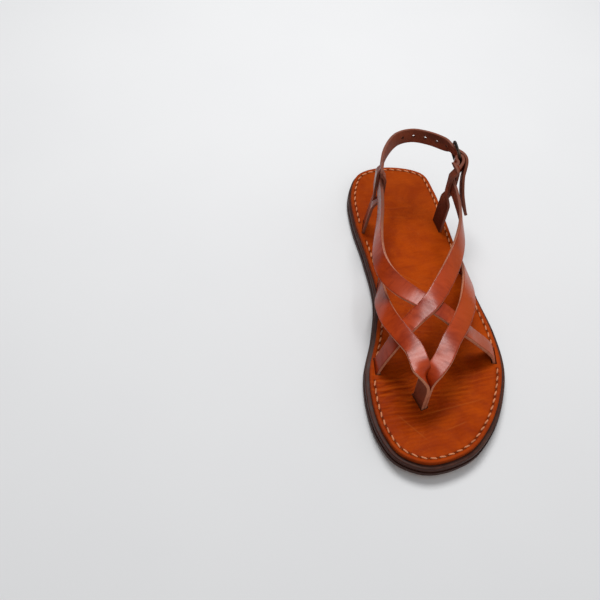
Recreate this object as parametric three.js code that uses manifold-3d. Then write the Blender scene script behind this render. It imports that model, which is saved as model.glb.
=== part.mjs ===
// Leather sandal for the left foot, in millimetres.
// +X is the outer side, -Y the toe and +Z up. The origin is on the tread, under the middle of the heel.
import * as THREE from 'three';
import { mergeVertices } from 'three/addons/utils/BufferGeometryUtils.js';
import Module from 'manifold-3d';

// Sizes of the sole
const sole_length = 255;
const ball_width = 91;
const heel_middle = 36; // from the heel end to the origin
const outsole_thickness = 3.4;
const midsole_thickness = 3.8;
const insole_thickness = 2.8;
const seam_gap = 0.3; // between two pieces that are glued, sewn or lie on each other
const toe_spring = 3.0;
const midsole_step = 0.6; // how far the midsole stands back from the outsole
const insole_step_heel = 2.0; // how far the insole stands back at the heel
const insole_step_ball = 3.2; // and at the ball
const edge_round = 0.7;
const sole_stations = 34;

// Sizes of the straps
const instep_height = 36; // from the insole to the long straps' top
const strap_width = 11.5;
const strap_thickness = 2.0;
const strap_bevel = 0.35;
const ankle_width = 9.8; // of the heel strap from the tab on
const ankle_row_count = 6; // so many last rows of the heel strap have that width
const tail_width = 8.5;
const tab_width = 13.5;
const tab_thickness = 1.8;
const tab_play = 0.1; // more than the seam's gap, where a lip passes the strap
const lip_overlap = 0.6; // of the two lips, below and above the slit
const hole_diameter = 2.2;
const hole_pitch = 8.6;
const hole_count = 5;

// Sizes of the buckle
const buckle_wire = 1.8;
const buckle_inner_width = 12.6; // across the strap
const buckle_reach = 12.6; // from bar to bar
const buckle_corner = 2.4;
const prong_diameter = 1.2;

// The strap at the buckle: how far ahead of the front bar the fold starts, how far its two layers
// lie closer together there, and how far the heel strap stands off a bar or rises between the bars
const fold_lead = 3;
const fold_close = 0.4;
const rear_bar_drop = 0.5;
const mid_frame_rise = 1.15;
const front_bar_rise = 0.3;
const sewn_share = 0.4; // where the folded end is sewn down, from the last row to the fold
const sewn_overlap = 0.25;

// Heights that follow
const midsole_bottom = outsole_thickness + seam_gap;
const midsole_top = midsole_bottom + midsole_thickness;
const insole_bottom = midsole_top + seam_gap;
const insole_top = insole_bottom + insole_thickness;

// Outline of the sole: at is the share of the length from the heel end,
// inner and outer are half widths as shares of the ball width.
const outline_rows = [
  { at: 0.03, inner: 0.262, outer: 0.295 },
  { at: 0.11, inner: 0.357, outer: 0.373 },
  { at: 0.22, inner: 0.360, outer: 0.413 },
  { at: 0.36, inner: 0.303, outer: 0.454 },
  { at: 0.50, inner: 0.270, outer: 0.513 },
  { at: 0.62, inner: 0.325, outer: 0.577 },
  { at: 0.73, inner: 0.407, outer: 0.586 },
  { at: 0.83, inner: 0.412, outer: 0.507 },
  { at: 0.91, inner: 0.366, outer: 0.383 },
  { at: 0.97, inner: 0.270, outer: 0.215 },
];
const toe_end_across = -0.07;

// Straps: along is the share of the length from the heel end, across a share of the ball width,
// up a share of the instep height above the insole. turn and tilt aim the grain side, in degrees:
// turn 0 is outwards, 90 to the heel, 180 inwards, and tilt 90 is up.
const outer_leg_rows = [
  { along: 0.819, across: -0.053, up: -0.12, turn: 199, tilt: 0 },
  { along: 0.819, across: -0.053, up: 0.25, turn: 199, tilt: 0 },
  { along: 0.819, across: -0.052, up: 0.54, turn: 199, tilt: 6 },
  { along: 0.816, across: -0.042, up: 0.68, turn: 196, tilt: 40 },
  { along: 0.806, across: -0.010, up: 0.76, turn: 190, tilt: 72 },
  { along: 0.779, across: 0.052, up: 0.82, turn: 180, tilt: 86 },
  { along: 0.729, across: 0.131, up: 0.86, turn: 0, tilt: 86 },
  { along: 0.679, across: 0.218, up: 0.82, turn: 0, tilt: 76 },
  { along: 0.619, across: 0.297, up: 0.78, turn: 0, tilt: 64 },
  { along: 0.553, across: 0.350, up: 0.67, turn: 0, tilt: 48 },
  { along: 0.495, across: 0.384, up: 0.50, turn: 0, tilt: 35 },
  { along: 0.441, across: 0.402, up: 0.29, turn: 0, tilt: 24 },
  { along: 0.402, across: 0.406, up: 0.06, turn: 0, tilt: 16 },
  { along: 0.365, across: 0.406, up: -0.22, turn: 0, tilt: 14 },
];
const inner_leg_rows = [
  { along: 0.822, across: -0.072, up: -0.12, turn: 19, tilt: 0 },
  { along: 0.822, across: -0.072, up: 0.25, turn: 19, tilt: 0 },
  { along: 0.822, across: -0.072, up: 0.54, turn: 19, tilt: 6 },
  { along: 0.819, across: -0.080, up: 0.70, turn: 16, tilt: 42 },
  { along: 0.800, across: -0.098, up: 0.80, turn: 90, tilt: 84 },
  { along: 0.753, across: -0.124, up: 0.83, turn: 180, tilt: 82 },
  { along: 0.701, across: -0.182, up: 0.757, turn: 180, tilt: 66 },
  { along: 0.645, across: -0.242, up: 0.67, turn: 180, tilt: 52 },
  { along: 0.569, across: -0.262, up: 0.47, turn: 180, tilt: 36 },
  { along: 0.506, across: -0.240, up: 0.21, turn: 180, tilt: 24 },
  { along: 0.474, across: -0.222, up: 0.00, turn: 180, tilt: 18 },
  { along: 0.444, across: -0.212, up: -0.22, turn: 180, tilt: 16 },
];
const buckle_strap_rows = [
  { along: 0.724, across: -0.336, up: -0.25, turn: 180, tilt: 20 },
  { along: 0.719, across: -0.312, up: 0.06, turn: 180, tilt: 30 },
  { along: 0.711, across: -0.254, up: 0.44, turn: 180, tilt: 44 },
  { along: 0.692, across: -0.180, up: 0.715, turn: 180, tilt: 62 },
  { along: 0.663, across: -0.084, up: 0.85, turn: 180, tilt: 76 },
  { along: 0.634, across: 0.018, up: 0.95, turn: 0, tilt: 88 },
  { along: 0.602, across: 0.087, up: 0.98, turn: 0, tilt: 78 },
  { along: 0.549, across: 0.179, up: 1.00, turn: 0, tilt: 62 },
  { along: 0.496, across: 0.257, up: 1.01, turn: 0, tilt: 48 },
  { along: 0.437, across: 0.322, up: 1.03, turn: 0, tilt: 34 },
  { along: 0.387, across: 0.354, up: 1.05, turn: 0, tilt: 20 },
  { along: 0.339, across: 0.360, up: 1.09, turn: 0, tilt: 9 },
  { along: 0.294, across: 0.350, up: 1.145, turn: 0, tilt: 4 },
  { along: 0.251, across: 0.338, up: 1.21, turn: 0, tilt: 2 },
];
const heel_strap_rows = [
  { along: 0.697, across: 0.528, up: -0.20, turn: 0, tilt: 42 },
  { along: 0.692, across: 0.490, up: 0.10, turn: 0, tilt: 46 },
  { along: 0.687, across: 0.347, up: 0.48, turn: 0, tilt: 54 },
  { along: 0.682, across: 0.226, up: 0.76, turn: 0, tilt: 72 },
  { along: 0.654, across: 0.130, up: 0.86, turn: 0, tilt: 84 },
  { along: 0.628, across: 0.030, up: 0.912, turn: 180, tilt: 88 },
  { along: 0.608, across: -0.058, up: 0.92, turn: 180, tilt: 76 },
  { along: 0.580, across: -0.154, up: 0.94, turn: 180, tilt: 60 },
  { along: 0.544, across: -0.231, up: 0.96, turn: 180, tilt: 46 },
  { along: 0.503, across: -0.270, up: 0.98, turn: 180, tilt: 34 },
  { along: 0.458, across: -0.275, up: 1.00, turn: 180, tilt: 24 },
  { along: 0.399, across: -0.252, up: 1.02, turn: 180, tilt: 14 },
  { along: 0.345, across: -0.224, up: 1.06, turn: 180, tilt: 8 },
  { along: 0.297, across: -0.210, up: 1.12, turn: 180, tilt: 4 },
  { along: 0.255, across: -0.207, up: 1.185, turn: 178, tilt: 2 },
  { along: 0.212, across: -0.190, up: 1.27, turn: 168, tilt: 0 },
  { along: 0.160, across: -0.142, up: 1.36, turn: 145, tilt: -6 },
  { along: 0.112, across: -0.040, up: 1.40, turn: 110, tilt: -12 },
  { along: 0.098, across: 0.086, up: 1.41, turn: 88, tilt: -14 },
  { along: 0.112, across: 0.215, up: 1.42, turn: 60, tilt: -12 },
  { along: 0.134, across: 0.300, up: 1.44, turn: 42, tilt: -8 },
];
// The free tail, forward of the buckle, on the outer side of everything
const tail_rows = [
  { along: 0.228, across: 0.440, up: 1.14, turn: 2, tilt: 12, taper: 1.15 },
  { along: 0.250, across: 0.436, up: 0.90, turn: 2, tilt: 8, taper: 1.05 },
  { along: 0.268, across: 0.446, up: 0.68, turn: 2, tilt: 10, taper: 0.95 },
  { along: 0.282, across: 0.466, up: 0.48, turn: 2, tilt: 14, taper: 0.35 },
];
// Ankle tabs: spread is how far the two lips of the slit stand apart, as a share of what the strap
// needs, and taper is the width as a share of the tab's
const tab_rows = [
  { up: -0.20, spread: 0, taper: 1.00 },
  { up: 0.20, spread: 0, taper: 1.00 },
  { up: 0.55, spread: 0, taper: 0.96 },
  { up: 0.82, spread: 0, taper: 0.94 },
  { up: 0.98, spread: 1, taper: 0.94 },
  { up: 1.19, spread: 1, taper: 0.94 },
  { up: 1.38, spread: 1, taper: 0.92 },
  { up: 1.51, spread: 0, taper: 0.84 },
  { up: 1.56, spread: 0, taper: 0.64 },
  { up: 1.59, spread: 0, taper: 0.36 },
];
const tab_places = {
  ankle_tab_outer: { side: 1, along: 0.250, base: 0.315, turn: 11 },
  ankle_tab_inner: { side: -1, along: 0.252, base: -0.272, turn: 169 },
};
const tab_crossing_up = 1.2;
// Middle of the buckle, and the way from its rear bar to its front bar
const buckle_place = { along: 0.173, across: 0.390, up: 1.415 };
const buckle_way = { across: 0.20, forward: 0.92, down: 0.33 };

const wasm = await Module();
wasm.setup();

function toSolid(geometry) {
  geometry.deleteAttribute('normal');
  geometry.deleteAttribute('uv');
  const merged = mergeVertices(geometry, 1e-4);
  return new wasm.Manifold(new wasm.Mesh({
    numProp: 3,
    vertProperties: new Float32Array(merged.attributes.position.array),
    triVerts: new Uint32Array(merged.index.array),
  }));
}

function toMesh(name, solid, material) {
  const mesh = solid.getMesh();
  const geometry = new THREE.BufferGeometry();
  geometry.setAttribute('position', new THREE.BufferAttribute(mesh.vertProperties, 3));
  geometry.setIndex(new THREE.BufferAttribute(mesh.triVerts, 1));
  geometry.computeVertexNormals();
  const part = new THREE.Mesh(geometry, material);
  part.name = name;
  return part;
}

function leather(color, roughness) {
  return new THREE.MeshStandardMaterial({ color, roughness, metalness: 0 });
}

// Rings of equally many points, run counterclockwise about the way they are stacked
function loft(rings, cap) {
  const count = rings[0].length;
  const faces = [];
  for (const [a, b, c] of cap) {
    faces.push(a, c, b);
  }
  for (let row = 0; row + 1 < rings.length; row += 1) {
    for (let i = 0; i < count; i += 1) {
      const next = (i + 1) % count;
      const low = row * count;
      const high = low + count;
      faces.push(low + i, low + next, high + next, low + i, high + next, high + i);
    }
  }
  const last = (rings.length - 1) * count;
  for (const [a, b, c] of cap) {
    faces.push(last + a, last + b, last + c);
  }
  const geometry = new THREE.BufferGeometry();
  const points = rings.flat().flatMap((point) => point.toArray());
  geometry.setAttribute('position', new THREE.Float32BufferAttribute(points, 3));
  geometry.setIndex(faces);
  return toSolid(geometry);
}

function fan(count) {
  return Array.from({ length: count - 2 }, (unused, i) => [0, i + 1, i + 2]);
}

function yAt(along) {
  return heel_middle - along * sole_length;
}

// The tread is flat back of spring_start and lifts as a square towards the toe
const spring_start = 0.74;
function springAt(y) {
  const share = (heel_middle - y) / sole_length;
  const past = Math.max(0, (share - spring_start) / (1 - spring_start));
  return toe_spring * past * past;
}

function outlineCurve() {
  const inner = outline_rows.map((row) => new THREE.Vector3(-row.inner * ball_width, yAt(row.at), 0));
  const outer = outline_rows.map((row) => new THREE.Vector3(row.outer * ball_width, yAt(row.at), 0));
  const heel = new THREE.Vector3(0, yAt(0), 0);
  const toe = new THREE.Vector3(toe_end_across * ball_width, yAt(1), 0);
  return new THREE.CatmullRomCurve3([heel, ...inner, toe, ...outer.reverse()], true, 'centripetal');
}

// The outline moved inwards by inset(y), as a fine closed line
const outline_steps = 480;
const outline = outlineCurve().getPoints(outline_steps).slice(0, outline_steps);
function insetLine(inset) {
  return outline.map((point, i) => {
    const before = outline[(i + outline_steps - 1) % outline_steps];
    const after = outline[(i + 1) % outline_steps];
    const inward = new THREE.Vector3(before.y - after.y, after.x - before.x, 0).normalize();
    return point.clone().addScaledVector(inward, inset(point.y));
  });
}

function crossings(line, y) {
  const found = [];
  line.forEach((a, i) => {
    const b = line[(i + 1) % line.length];
    if ((a.y > y) !== (b.y > y)) {
      found.push(a.x + (b.x - a.x) * (y - a.y) / (b.y - a.y));
    }
  });
  return [Math.min(...found), Math.max(...found)];
}

// One ring of a sole layer: heel end, inner side, toe end, outer side
function soleRing(inset, z) {
  const line = insetLine(inset);
  const heel = line.reduce((best, point) => (point.y > best.y ? point : best));
  const toe = line.reduce((best, point) => (point.y < best.y ? point : best));
  const inner = [];
  const outer = [];
  for (let i = 1; i < sole_stations; i += 1) {
    const share = (1 - Math.cos(Math.PI * i / sole_stations)) / 2;
    const y = heel.y + (toe.y - heel.y) * share;
    const [low, high] = crossings(line, y);
    inner.push(new THREE.Vector3(low, y, z + springAt(y)));
    outer.unshift(new THREE.Vector3(high, y, z + springAt(y)));
  }
  const heelPoint = new THREE.Vector3(heel.x, heel.y, z + springAt(heel.y));
  const toePoint = new THREE.Vector3(toe.x, toe.y, z + springAt(toe.y));
  return [heelPoint, ...inner, toePoint, ...outer];
}

function soleCap() {
  const n = sole_stations;
  const cap = [[0, 1, 2 * n - 1], [n - 1, n, n + 1]];
  for (let j = 1; j < n - 1; j += 1) {
    cap.push([j, j + 1, 2 * n - j - 1], [j, 2 * n - j - 1, 2 * n - j]);
  }
  return cap;
}

function soleLayer(bands) {
  return loft(bands.map((band) => soleRing(band.inset, band.z)), soleCap());
}

function insoleStep(y) {
  const share = (heel_middle - y) / sole_length;
  const towards = THREE.MathUtils.smoothstep(share, 0.3, 0.65);
  return THREE.MathUtils.lerp(insole_step_heel, insole_step_ball, towards);
}

function place(row) {
  const y = yAt(row.along);
  return new THREE.Vector3(row.across * ball_width, y, insole_top + springAt(y) + row.up * instep_height);
}

function aim(turn, tilt) {
  const around = THREE.MathUtils.degToRad(turn);
  const above = THREE.MathUtils.degToRad(tilt);
  const flat = Math.cos(above);
  return new THREE.Vector3(flat * Math.cos(around), flat * Math.sin(around), Math.sin(above));
}

// A strap is swept along the stations' middles. Each station has its point, the way its grain
// side faces and its width. grow widens it all round, for the slit or hole that it passes.
function station(row, width = strap_width) {
  return { point: place(row), face: aim(row.turn, row.tilt), width };
}

function sweep(stations, { thickness = strap_thickness, grow = 0, steps = 4 } = {}) {
  const path = new THREE.CatmullRomCurve3(stations.map((s) => s.point), false, 'centripetal');
  const spans = stations.length - 1;
  const rings = [];
  for (let i = 0; i <= spans * steps; i += 1) {
    const t = i / (spans * steps);
    const span = Math.min(Math.floor(t * spans), spans - 1);
    const share = t * spans - span;
    const from = stations[span];
    const to = stations[span + 1];
    const way = path.getTangent(t);
    const face = from.face.clone().lerp(to.face, share);
    face.addScaledVector(way, -face.dot(way)).normalize();
    const across = new THREE.Vector3().crossVectors(face, way);
    const halfWidth = THREE.MathUtils.lerp(from.width, to.width, share) / 2 + grow;
    const halfThick = thickness / 2 + grow;
    const middle = path.getPoint(t);
    const section = [
      [halfWidth, strap_bevel - halfThick], [halfWidth, halfThick - strap_bevel],
      [halfWidth - strap_bevel, halfThick], [strap_bevel - halfWidth, halfThick],
      [-halfWidth, halfThick - strap_bevel], [-halfWidth, strap_bevel - halfThick],
      [strap_bevel - halfWidth, -halfThick], [halfWidth - strap_bevel, -halfThick],
    ];
    rings.push(section.map(([u, v]) => middle.clone().addScaledVector(across, u).addScaledVector(face, v)));
  }
  return loft(rings, fan(8));
}

function joined(solids) {
  return solids.reduce((all, solid) => all.add(solid));
}

// Cuts away what reaches below the insole, with a block that stands past the sole all round
function trimmed(solid) {
  const past = -ball_width / 4;
  const below = soleLayer([
    { inset: () => past, z: -instep_height },
    { inset: () => past, z: insole_bottom },
  ]);
  return solid.subtract(below);
}

// A round wire bent in one plane, whose normal is given
function wire(points, normal, radius, closed) {
  const sides = 8;
  const rings = points.map((point, i) => {
    const before = points[closed ? (i + points.length - 1) % points.length : Math.max(i - 1, 0)];
    const after = points[closed ? (i + 1) % points.length : Math.min(i + 1, points.length - 1)];
    const way = after.clone().sub(before).normalize();
    const side = new THREE.Vector3().crossVectors(normal, way);
    return Array.from({ length: sides }, (unused, k) => {
      const angle = 2 * Math.PI * k / sides;
      return point.clone().addScaledVector(side, radius * Math.cos(angle))
        .addScaledVector(normal, radius * Math.sin(angle));
    });
  });
  return closed ? loft([...rings, rings[0]], []) : loft(rings, fan(sides));
}

// The buckle: way runs from its rear bar to its front bar, face is outwards, rise is across the strap
const buckle = (() => {
  const way = new THREE.Vector3(buckle_way.across, -buckle_way.forward, -buckle_way.down).normalize();
  const face = new THREE.Vector3(1, 0, 0.1);
  face.addScaledVector(way, -face.dot(way)).normalize();
  const rise = new THREE.Vector3().crossVectors(way, face);
  const middle = place(buckle_place);
  const at = (forward, outward, upward = 0) => middle.clone().addScaledVector(way, forward)
    .addScaledVector(face, outward).addScaledVector(rise, upward);
  return { way, face, rise, at };
})();
const bar = buckle_reach / 2;
const wrap = buckle_wire / 2 + seam_gap + strap_thickness / 2; // from a bar's axis to a strap lying on it
const prong_lift = buckle_wire / 2 + seam_gap + prong_diameter / 2;

function buckleFrame(grow = 0) {
  const corner = buckle_corner;
  const high = (buckle_inner_width + buckle_wire) / 2;
  const points = [];
  for (const [forward, upward] of [[1, 1], [-1, 1], [-1, -1], [1, -1]]) {
    for (let k = 0; k <= 4; k += 1) {
      const start = Math.atan2(upward, forward) - Math.PI / 4;
      const angle = start + k * Math.PI / 8;
      points.push(buckle.at(forward * (bar - corner) + corner * Math.cos(angle), 0,
        upward * (high - corner) + corner * Math.sin(angle)));
    }
  }
  return wire(points, buckle.face.clone().negate(), buckle_wire / 2 + grow, true);
}

// The prong's eye starts nearly behind the front bar, runs under and ahead of it to its outer
// side, and the tongue goes on from there to past the rear bar
function buckleProng(grow = 0) {
  const eye_start = -165 - THREE.MathUtils.radToDeg(grow / prong_lift);
  const eye_end = 90;
  const eye_steps = 15;
  const points = [];
  for (let k = 0; k <= eye_steps; k += 1) {
    const turned = THREE.MathUtils.degToRad(THREE.MathUtils.lerp(eye_start, eye_end, k / eye_steps));
    points.push(buckle.at(bar + prong_lift * Math.cos(turned), prong_lift * Math.sin(turned)));
  }
  points.push(buckle.at(0, prong_lift), buckle.at(-bar - buckle_wire - grow, prong_lift));
  return wire(points, buckle.rise, prong_diameter / 2 + grow, false);
}

// Round the front bar: 0 degrees is on its outer side, 90 behind it, 180 on its inner side
function foldStation(degrees) {
  const turned = THREE.MathUtils.degToRad(degrees);
  const outward = Math.cos(turned);
  const behind = Math.sin(turned);
  const face = buckle.face.clone().multiplyScalar(outward).addScaledVector(buckle.way, -behind);
  return { point: buckle.at(bar - wrap * behind, wrap * outward), face, width: strap_width };
}

const outerLeg = outer_leg_rows.map((row) => station(row));
const innerLeg = inner_leg_rows.map((row) => station(row));
const buckleStrap = [
  ...buckle_strap_rows.map((row) => station(row)),
  { point: buckle.at(bar + fold_lead, wrap - fold_close), face: buckle.face, width: strap_width },
  ...[0, 35, 70, 95].map(foldStation),
];
const overFold = wrap + strap_thickness + seam_gap + front_bar_rise;
const heelStrap = [
  ...heel_strap_rows.slice(0, -ankle_row_count).map((row) => station(row)),
  ...heel_strap_rows.slice(-ankle_row_count).map((row) => station(row, ankle_width)),
  { point: buckle.at(-bar, -wrap - rear_bar_drop), face: buckle.face, width: ankle_width },
  { point: buckle.at(0, mid_frame_rise), face: buckle.face, width: ankle_width },
  { point: buckle.at(bar, overFold), face: buckle.face, width: ankle_width },
  ...tail_rows.map((row) => station(row, tail_width * row.taper)),
];

// The end of the buckle strap, folded round the front bar and sewn to its own inner side
function foldReturn() {
  const last = buckleStrap[buckle_strap_rows.length - 1];
  const sewn = last.point.clone().lerp(buckleStrap[buckle_strap_rows.length].point, sewn_share);
  sewn.addScaledVector(buckle.face, sewn_overlap - strap_thickness);
  const inside = buckle.face.clone().negate();
  return [
    ...[75, 110, 145, 180].map(foldStation),
    { point: buckle.at(bar + fold_lead, fold_close - wrap), face: inside, width: strap_width },
    { point: sewn, face: inside, width: strap_width },
  ];
}

// Holes through the heel strap, counted back from the middle of the buckle
function ankleHoles() {
  const path = new THREE.CatmullRomCurve3(heelStrap.map((s) => s.point), false, 'centripetal');
  const prong = buckle.at(0, 0);
  const total = path.getLength();
  const fine = path.getSpacedPoints(Math.round(total)).map((p) => p.distanceTo(prong));
  const start = fine.indexOf(Math.min(...fine));
  const cutters = [];
  for (let k = 1; k <= hole_count; k += 1) {
    const share = start / (fine.length - 1) - k * hole_pitch / total;
    const middle = path.getPointAt(share);
    const way = path.getTangentAt(share);
    const face = new THREE.Vector3().crossVectors(way, new THREE.Vector3(0, 0, 1)).normalize();
    const reach = face.multiplyScalar(strap_thickness * 1.5);
    const upward = new THREE.Vector3().crossVectors(reach, way).normalize();
    const ends = [middle.clone().sub(reach), middle.clone().add(reach)];
    cutters.push(wire(ends, upward, hole_diameter / 2, false));
  }
  return joined(cutters);
}

function upperSolid() {
  const straps = joined([
    sweep(outerLeg), sweep(innerLeg), sweep(buckleStrap), sweep(foldReturn()), sweep(heelStrap),
  ]);
  return trimmed(straps).subtract(ankleHoles())
    .subtract(buckleFrame(seam_gap)).subtract(buckleProng(seam_gap));
}

// The place of a strap where it passes y, near the ankle, on one side of the foot
function strapAt(stations, y, side) {
  const path = new THREE.CatmullRomCurve3(stations.map((s) => s.point), false, 'centripetal');
  const near = path.getPoints(stations.length * 12)
    .filter((p) => p.z > insole_top + instep_height && p.x * side > 0);
  return near.reduce((best, p) => (Math.abs(p.y - y) < Math.abs(best.y - y) ? p : best));
}

// Two lips, the front and the rear half of the tab, that pass the strap on either side
function tabSolid(tab, stations, grow = 0) {
  const clear = strap_thickness / 2 + seam_gap + tab_thickness / 2 + tab_play;
  const middleY = yAt(tab.along);
  const crossing = strapAt(stations, middleY, tab.side).x;
  const face = aim(tab.turn, 0);
  const along = new THREE.Vector3(-face.y, face.x, 0).multiplyScalar(tab.side); // to the heel
  const lips = [-1, 1].map((end) => tab_rows.map((row) => {
    const rise = place({ along: tab.along, across: 0, up: row.up });
    const risen = THREE.MathUtils.clamp(row.up / tab_crossing_up, 0, 1);
    const lean = THREE.MathUtils.lerp(tab.base * ball_width, crossing, risen);
    const point = new THREE.Vector3(lean, middleY, rise.z);
    point.addScaledVector(along, end * row.taper * tab_width / 4);
    const beside = strapAt(stations, point.y, tab.side).x + tab.side * end * clear;
    point.x = THREE.MathUtils.lerp(point.x, beside, row.spread);
    return { point, face, width: row.taper * tab_width / 2 + lip_overlap };
  }));
  return joined(lips.map((lip) => sweep(lip, { thickness: tab_thickness, grow, steps: 3 })));
}

const tan_leather = leather(0x9a3c0e, 0.38);
const strap_leather = leather(0x8a2a0c, 0.35);
const dark_leather = leather(0x3a201a, 0.5);
const crepe = new THREE.MeshStandardMaterial({ color: 0xb87a3c, roughness: 0.9, metalness: 0 });
const antique_metal = new THREE.MeshStandardMaterial({ color: 0x2e2622, roughness: 0.45, metalness: 0.85 });

const outsole = soleLayer([
  { inset: () => edge_round, z: 0 },
  { inset: () => 0, z: edge_round },
  { inset: () => 0, z: outsole_thickness },
]);
const midsole = soleLayer([
  { inset: () => midsole_step, z: midsole_bottom },
  { inset: () => midsole_step, z: midsole_top - edge_round },
  { inset: () => midsole_step + edge_round, z: midsole_top },
]);
const wholeInsole = soleLayer([
  { inset: insoleStep, z: insole_bottom },
  { inset: insoleStep, z: insole_top - edge_round },
  { inset: (y) => insoleStep(y) + edge_round, z: insole_top },
]);

const upper = upperSolid();
const tabStraps = { ankle_tab_outer: buckleStrap, ankle_tab_inner: heelStrap };
const tabCutters = Object.entries(tab_places).map(([name, tab]) => tabSolid(tab, tabStraps[name], seam_gap));
const strapCutters = [outerLeg, innerLeg, buckleStrap, heelStrap].map((s) => sweep(s, { grow: seam_gap }));
const ankleCutter = joined([...strapCutters.slice(2), sweep(foldReturn(), { grow: seam_gap })]);
const insole = wholeInsole.subtract(joined([...strapCutters, ...tabCutters]));

const sandal = new THREE.Group();
sandal.add(toMesh('outsole', outsole, crepe));
sandal.add(toMesh('midsole', midsole, dark_leather));
sandal.add(toMesh('insole', insole, tan_leather));
sandal.add(toMesh('upper', upper, strap_leather));
for (const [name, tab] of Object.entries(tab_places)) {
  const solid = trimmed(tabSolid(tab, tabStraps[name])).subtract(ankleCutter);
  sandal.add(toMesh(name, solid, strap_leather));
}
sandal.add(toMesh('buckle_frame', buckleFrame(), antique_metal));
sandal.add(toMesh('buckle_prong', buckleProng(), antique_metal));

export default sandal;
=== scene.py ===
from math import pi, radians

import bmesh
import bpy
import numpy as np
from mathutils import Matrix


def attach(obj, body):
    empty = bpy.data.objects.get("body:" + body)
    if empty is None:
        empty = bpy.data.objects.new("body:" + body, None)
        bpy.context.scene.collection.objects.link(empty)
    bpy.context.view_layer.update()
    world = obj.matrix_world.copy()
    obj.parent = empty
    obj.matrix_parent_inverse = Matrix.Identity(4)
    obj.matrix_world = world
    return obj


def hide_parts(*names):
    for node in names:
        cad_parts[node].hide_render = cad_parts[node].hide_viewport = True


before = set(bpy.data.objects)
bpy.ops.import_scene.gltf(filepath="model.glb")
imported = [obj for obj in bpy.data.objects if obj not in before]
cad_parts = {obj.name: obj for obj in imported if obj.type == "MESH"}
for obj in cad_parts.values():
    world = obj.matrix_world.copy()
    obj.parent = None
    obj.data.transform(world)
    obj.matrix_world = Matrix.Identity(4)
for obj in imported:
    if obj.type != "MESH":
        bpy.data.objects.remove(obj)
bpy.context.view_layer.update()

# Camera. The photograph looks down on the toes from ahead and from the inner side, with the
# sandal at the right of the picture.


def in_scene(name, data):
    """Adds an object to the scene, at the origin."""
    made = bpy.data.objects.new(name, data)
    bpy.context.scene.collection.objects.link(made)
    return made


camera = in_scene("camera", bpy.data.cameras.new("camera"))
camera.data.sensor_width = 36.0
camera.data.lens = 47.52
camera.data.clip_start = 0.01
camera.location = (-0.1115, -0.4156, 0.4236)
camera.rotation_euler = (radians(37.99), radians(-2.71), radians(-3.13))
bpy.context.scene.camera = camera
bpy.context.scene.view_settings.view_transform = "Standard"


# Outsole. A slab of natural crepe rubber, cut to the outline and glued under the midsole. Its
# side and a thin rim of its underside are painted dark, and its tread is a fine, worn pebble.
sole_length = 0.255
ball_width = 0.091
heel_middle = 0.036  # from the heel end to the origin
outsole_thickness = 0.0034
seam_gap = 0.0003
toe_spring = 0.003
spring_start = 0.74
edge_round = 0.0007
painted_rim = 0.0012
pebble, pebble_swell, tread_depth = 0.0042, 0.011, 0.00010
even_part = 0.06  # of the rows' spacing along the sole, and the rest packs them at heel and toe
# Share of the length from the heel end, and inner and outer half width as shares of the ball's
outline_rows = [
    (0.03, 0.262, 0.295), (0.11, 0.357, 0.373), (0.22, 0.360, 0.413), (0.36, 0.303, 0.454),
    (0.50, 0.270, 0.513), (0.62, 0.325, 0.577), (0.73, 0.407, 0.586), (0.83, 0.412, 0.507),
    (0.91, 0.366, 0.383), (0.97, 0.270, 0.215),
]
toe_end_across = -0.07


def flowing_line(points, steps, closed=False):
    """A smooth line through points, and its slope, at steps places to each span.

    Each span is the cubic with the points' centripetal Catmull-Rom slopes at its ends, where a
    span counts as long as the square root of its chord. Columns past the third are carried along.
    """
    points = np.asarray(points, float)
    if closed:
        before, start, end, after = (np.roll(points, by, axis=0) for by in (1, 0, -1, -2))
    else:
        ahead = np.vstack([2 * points[0] - points[1], points, 2 * points[-1] - points[-2]])
        before, start, end, after = ahead[:-3], ahead[1:-2], ahead[2:-1], ahead[3:]

    def span(a, b):
        """The square root of each chord, from the place alone."""
        return np.sqrt(np.linalg.norm((b - a)[:, :3], axis=1, keepdims=True))

    first, middle, last = span(before, start), span(start, end), span(end, after)
    leave = (start - before) / first - (end - before) / (first + middle) + (end - start) / middle
    reach = (end - start) / middle - (after - start) / (middle + last) + (after - end) / last
    leave, reach = leave * middle, reach * middle
    square = 3 * (end - start) - 2 * leave - reach
    cube = 2 * (start - end) + leave + reach
    t = np.linspace(0, 1, steps, endpoint=False)[:, None]
    line = [start[:, None], leave[:, None] * t, square[:, None] * t**2, cube[:, None] * t**3]
    slope = [leave[:, None] + 0 * t, 2 * square[:, None] * t, 3 * cube[:, None] * t**2]
    line = sum(line).reshape(-1, points.shape[1])
    slope = sum(slope).reshape(-1, points.shape[1])
    if not closed:
        line, slope = np.vstack([line, end[-1]]), np.vstack([slope, reach[-1]])
    return line, slope


def along_y(share):
    """The Y of a place that is a share of the length from the heel end."""
    return heel_middle - share * sole_length


def spring_at(y):
    """How far the sole lifts at y: as the square of the way past the spring's start."""
    past = np.clip(((heel_middle - y) / sole_length - spring_start) / (1 - spring_start), 0, None)
    return toe_spring * past**2


def unit(vectors):
    """The vectors divided by their lengths."""
    return vectors / np.linalg.norm(vectors, axis=-1, keepdims=True)


def edge_line(inset):
    """The sole's outline moved inwards by inset(y), as a closed line, with its inward normals."""
    share, inner, outer = np.array(outline_rows).T
    y = along_y(share)
    heel, toe = [0, along_y(0)], [toe_end_across * ball_width, along_y(1)]
    inner = np.column_stack([-inner * ball_width, y])
    outer = np.column_stack([outer * ball_width, y])[::-1]
    line, slope = flowing_line(np.vstack([heel, inner, toe, outer]), 24, closed=True)
    inward = unit(np.column_stack([-slope[:, 1], slope[:, 0]]))
    return line + inward * inset(line[:, 1])[:, None], inward


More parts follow.
